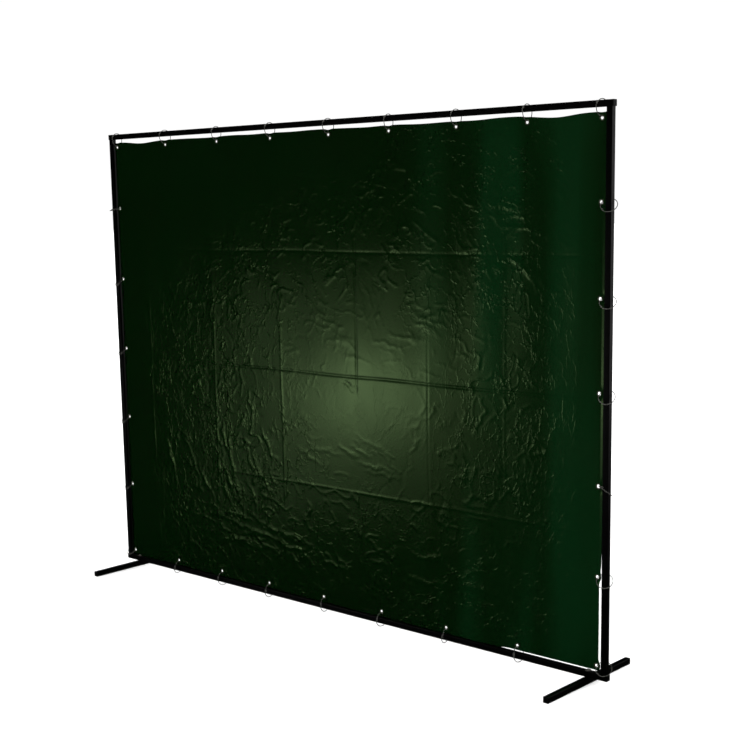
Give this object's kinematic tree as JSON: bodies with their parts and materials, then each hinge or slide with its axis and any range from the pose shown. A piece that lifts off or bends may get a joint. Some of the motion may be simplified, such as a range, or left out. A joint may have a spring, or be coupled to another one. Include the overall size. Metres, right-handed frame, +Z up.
{
  "type": "welding curtain screen",
  "caption": "Free-standing welding screen: square-tube frame on two crosswise swivelling feet, with a dark green vinyl curtain held in it by wire split rings through eyelets.",
  "frame": {"origin": "on the floor, midway between the feet and in the middle of the frame's thickness", "axes": "+X along the frame to its right end, -Y towards the front of the curtain, +Z up"},
  "size_m": [2.4199, 0.47, 1.8052],
  "materials": {
    "frame": "semi-gloss black powder coat",
    "end_caps": "moulded black plastic",
    "fasteners": "zinc plated",
    "zinc": "bright zinc plated",
    "vinyl": "glossy calendered vinyl, slightly translucent"
  },
  "bodies": {
    "frame": {"top_rail": "frame", "bottom_rail": "frame", "left_upright": "frame", "right_upright": "frame", "top_rail_cap_left": "end_caps", "top_rail_cap_right": "end_caps", "bottom_rail_cap_left": "end_caps", "bottom_rail_cap_right": "end_caps", "insert_top_left": "zinc", "insert_top_right": "zinc", "insert_bottom_left": "zinc", "insert_bottom_right": "zinc", "corner_screws": "fasteners", "left_foot_washer": "zinc", "right_foot_washer": "zinc", "curtain": "vinyl", "curtain_hem": "vinyl", "top_eyelets": "zinc", "bottom_eyelets": "zinc", "left_eyelets": "zinc", "right_eyelets": "zinc"},
    "left_foot": {"left_foot": "frame", "left_foot_cap_front": "end_caps", "left_foot_cap_back": "end_caps", "left_foot_bolt": "fasteners", "left_foot_nut": "fasteners"},
    "right_foot": {"right_foot": "frame", "right_foot_cap_front": "end_caps", "right_foot_cap_back": "end_caps", "right_foot_bolt": "fasteners", "right_foot_nut": "fasteners"},
    "top_ring_1": {"top_ring_1": "zinc"},
    "top_ring_2": {"top_ring_2": "zinc"},
    "top_ring_3": {"top_ring_3": "zinc"},
    "top_ring_4": {"top_ring_4": "zinc"},
    "top_ring_5": {"top_ring_5": "zinc"},
    "top_ring_6": {"top_ring_6": "zinc"},
    "top_ring_7": {"top_ring_7": "zinc"},
    "top_ring_8": {"top_ring_8": "zinc"},
    "top_ring_9": {"top_ring_9": "zinc"},
    "bottom_ring_1": {"bottom_ring_1": "zinc"},
    "bottom_ring_2": {"bottom_ring_2": "zinc"},
    "bottom_ring_3": {"bottom_ring_3": "zinc"},
    "bottom_ring_4": {"bottom_ring_4": "zinc"},
    "bottom_ring_5": {"bottom_ring_5": "zinc"},
    "bottom_ring_6": {"bottom_ring_6": "zinc"},
    "bottom_ring_7": {"bottom_ring_7": "zinc"},
    "left_ring_1": {"left_ring_1": "zinc"},
    "left_ring_2": {"left_ring_2": "zinc"},
    "left_ring_3": {"left_ring_3": "zinc"},
    "left_ring_4": {"left_ring_4": "zinc"},
    "left_ring_5": {"left_ring_5": "zinc"},
    "left_ring_6": {"left_ring_6": "zinc"},
    "right_ring_1": {"right_ring_1": "zinc"},
    "right_ring_2": {"right_ring_2": "zinc"},
    "right_ring_3": {"right_ring_3": "zinc"},
    "right_ring_4": {"right_ring_4": "zinc"},
    "right_ring_5": {"right_ring_5": "zinc"},
    "right_ring_6": {"right_ring_6": "zinc"}
  },
  "joints": [
    {"name": "left_foot_swivel", "type": "hinge", "parent": "frame", "child": "left_foot", "pos_m": [-1.126, 0, 0.02], "axis": [0, 0, 1], "range_deg": [-90, 0]},
    {"name": "right_foot_swivel", "type": "hinge", "parent": "frame", "child": "right_foot", "pos_m": [1.126, 0, 0.02], "axis": [0, 0, 1], "range_deg": [0, 90]},
    {"name": "top_ring_1_turn", "type": "hinge", "parent": "frame", "child": "top_ring_1", "pos_m": [-1.156, 0, 1.77846], "axis": [0, 0, 1], "range_deg": [-19, 9]},
    {"name": "top_ring_2_turn", "type": "hinge", "parent": "frame", "child": "top_ring_2", "pos_m": [-0.852, 0, 1.77846], "axis": [0, 0, 1], "range_deg": [-7, 21]},
    {"name": "top_ring_3_turn", "type": "hinge", "parent": "frame", "child": "top_ring_3", "pos_m": [-0.55, 0, 1.77846], "axis": [0, 0, 1], "range_deg": [-18, 10]},
    {"name": "top_ring_4_turn", "type": "hinge", "parent": "frame", "child": "top_ring_4", "pos_m": [-0.258, 0, 1.77846], "axis": [0, 0, 1], "range_deg": [-14, 14]},
    {"name": "top_ring_5_turn", "type": "hinge", "parent": "frame", "child": "top_ring_5", "pos_m": [0.036, 0, 1.77846], "axis": [0, 0, 1], "range_deg": [-8, 20]},
    {"name": "top_ring_6_turn", "type": "hinge", "parent": "frame", "child": "top_ring_6", "pos_m": [0.317, 0, 1.77846], "axis": [0, 0, 1], "range_deg": [-19, 9]},
    {"name": "top_ring_7_turn", "type": "hinge", "parent": "frame", "child": "top_ring_7", "pos_m": [0.606, 0, 1.77846], "axis": [0, 0, 1], "range_deg": [-10, 18]},
    {"name": "top_ring_8_turn", "type": "hinge", "parent": "frame", "child": "top_ring_8", "pos_m": [0.886, 0, 1.77846], "axis": [0, 0, 1], "range_deg": [-16, 12]},
    {"name": "top_ring_9_turn", "type": "hinge", "parent": "frame", "child": "top_ring_9", "pos_m": [1.156, 0, 1.77846], "axis": [0, 0, 1], "range_deg": [-3, 25]},
    {"name": "bottom_ring_1_swing", "type": "hinge", "parent": "frame", "child": "bottom_ring_1", "pos_m": [-0.869, 0, 0.05925], "axis": [0, 1, 0], "range_deg": [-40, 16]},
    {"name": "bottom_ring_2_swing", "type": "hinge", "parent": "frame", "child": "bottom_ring_2", "pos_m": [-0.603, 0, 0.05925], "axis": [0, 1, 0], "range_deg": [-22, 34]},
    {"name": "bottom_ring_3_swing", "type": "hinge", "parent": "frame", "child": "bottom_ring_3", "pos_m": [-0.33, 0, 0.05925], "axis": [0, 1, 0], "range_deg": [-30, 26]},
    {"name": "bottom_ring_4_swing", "type": "hinge", "parent": "frame", "child": "bottom_ring_4", "pos_m": [-0.037, 0, 0.05925], "axis": [0, 1, 0], "range_deg": [-23, 33]},
    {"name": "bottom_ring_5_swing", "type": "hinge", "parent": "frame", "child": "bottom_ring_5", "pos_m": [0.251, 0, 0.05925], "axis": [0, 1, 0], "range_deg": [-29, 27]},
    {"name": "bottom_ring_6_swing", "type": "hinge", "parent": "frame", "child": "bottom_ring_6", "pos_m": [0.549, 0, 0.05925], "axis": [0, 1, 0], "range_deg": [-35, 21]},
    {"name": "bottom_ring_7_swing", "type": "hinge", "parent": "frame", "child": "bottom_ring_7", "pos_m": [0.85, 0, 0.05925], "axis": [0, 1, 0], "range_deg": [-19, 37]},
    {"name": "left_ring_1_lift", "type": "hinge", "parent": "frame", "child": "left_ring_1", "pos_m": [-1.1585, 0, 1.5025], "axis": [0, 1, 0], "range_deg": [-14, 11]},
    {"name": "left_ring_2_lift", "type": "hinge", "parent": "frame", "child": "left_ring_2", "pos_m": [-1.1585, 0, 1.2145], "axis": [0, 1, 0], "range_deg": [0, 25]},
    {"name": "left_ring_3_lift", "type": "hinge", "parent": "frame", "child": "left_ring_3", "pos_m": [-1.1585, 0, 0.9265], "axis": [0, 1, 0], "range_deg": [0, 25]},
    {"name": "left_ring_4_lift", "type": "hinge", "parent": "frame", "child": "left_ring_4", "pos_m": [-1.1585, 0, 0.6385], "axis": [0, 1, 0], "range_deg": [0, 25]},
    {"name": "left_ring_5_lift", "type": "hinge", "parent": "frame", "child": "left_ring_5", "pos_m": [-1.1585, 0, 0.3505], "axis": [0, 1, 0], "range_deg": [0, 25]},
    {"name": "left_ring_6_lift", "type": "hinge", "parent": "frame", "child": "left_ring_6", "pos_m": [-1.158, 0, 0.0625], "axis": [0, 1, 0], "range_deg": [0, 17]},
    {"name": "right_ring_1_lift", "type": "hinge", "parent": "frame", "child": "right_ring_1", "pos_m": [1.1585, 0, 1.5025], "axis": [0, 1, 0], "range_deg": [-25, 0]},
    {"name": "right_ring_2_lift", "type": "hinge", "parent": "frame", "child": "right_ring_2", "pos_m": [1.1585, 0, 1.2145], "axis": [0, 1, 0], "range_deg": [-25, 0]},
    {"name": "right_ring_3_lift", "type": "hinge", "parent": "frame", "child": "right_ring_3", "pos_m": [1.1585, 0, 0.9265], "axis": [0, 1, 0], "range_deg": [-25, 0]},
    {"name": "right_ring_4_lift", "type": "hinge", "parent": "frame", "child": "right_ring_4", "pos_m": [1.1585, 0, 0.6385], "axis": [0, 1, 0], "range_deg": [-31, 0]},
    {"name": "right_ring_5_lift", "type": "hinge", "parent": "frame", "child": "right_ring_5", "pos_m": [1.1585, 0, 0.3505], "axis": [0, 1, 0], "range_deg": [-25, 0]},
    {"name": "right_ring_6_lift", "type": "hinge", "parent": "frame", "child": "right_ring_6", "pos_m": [1.158, 0, 0.0625], "axis": [0, 1, 0], "range_deg": [-17, 0]}
  ]
}
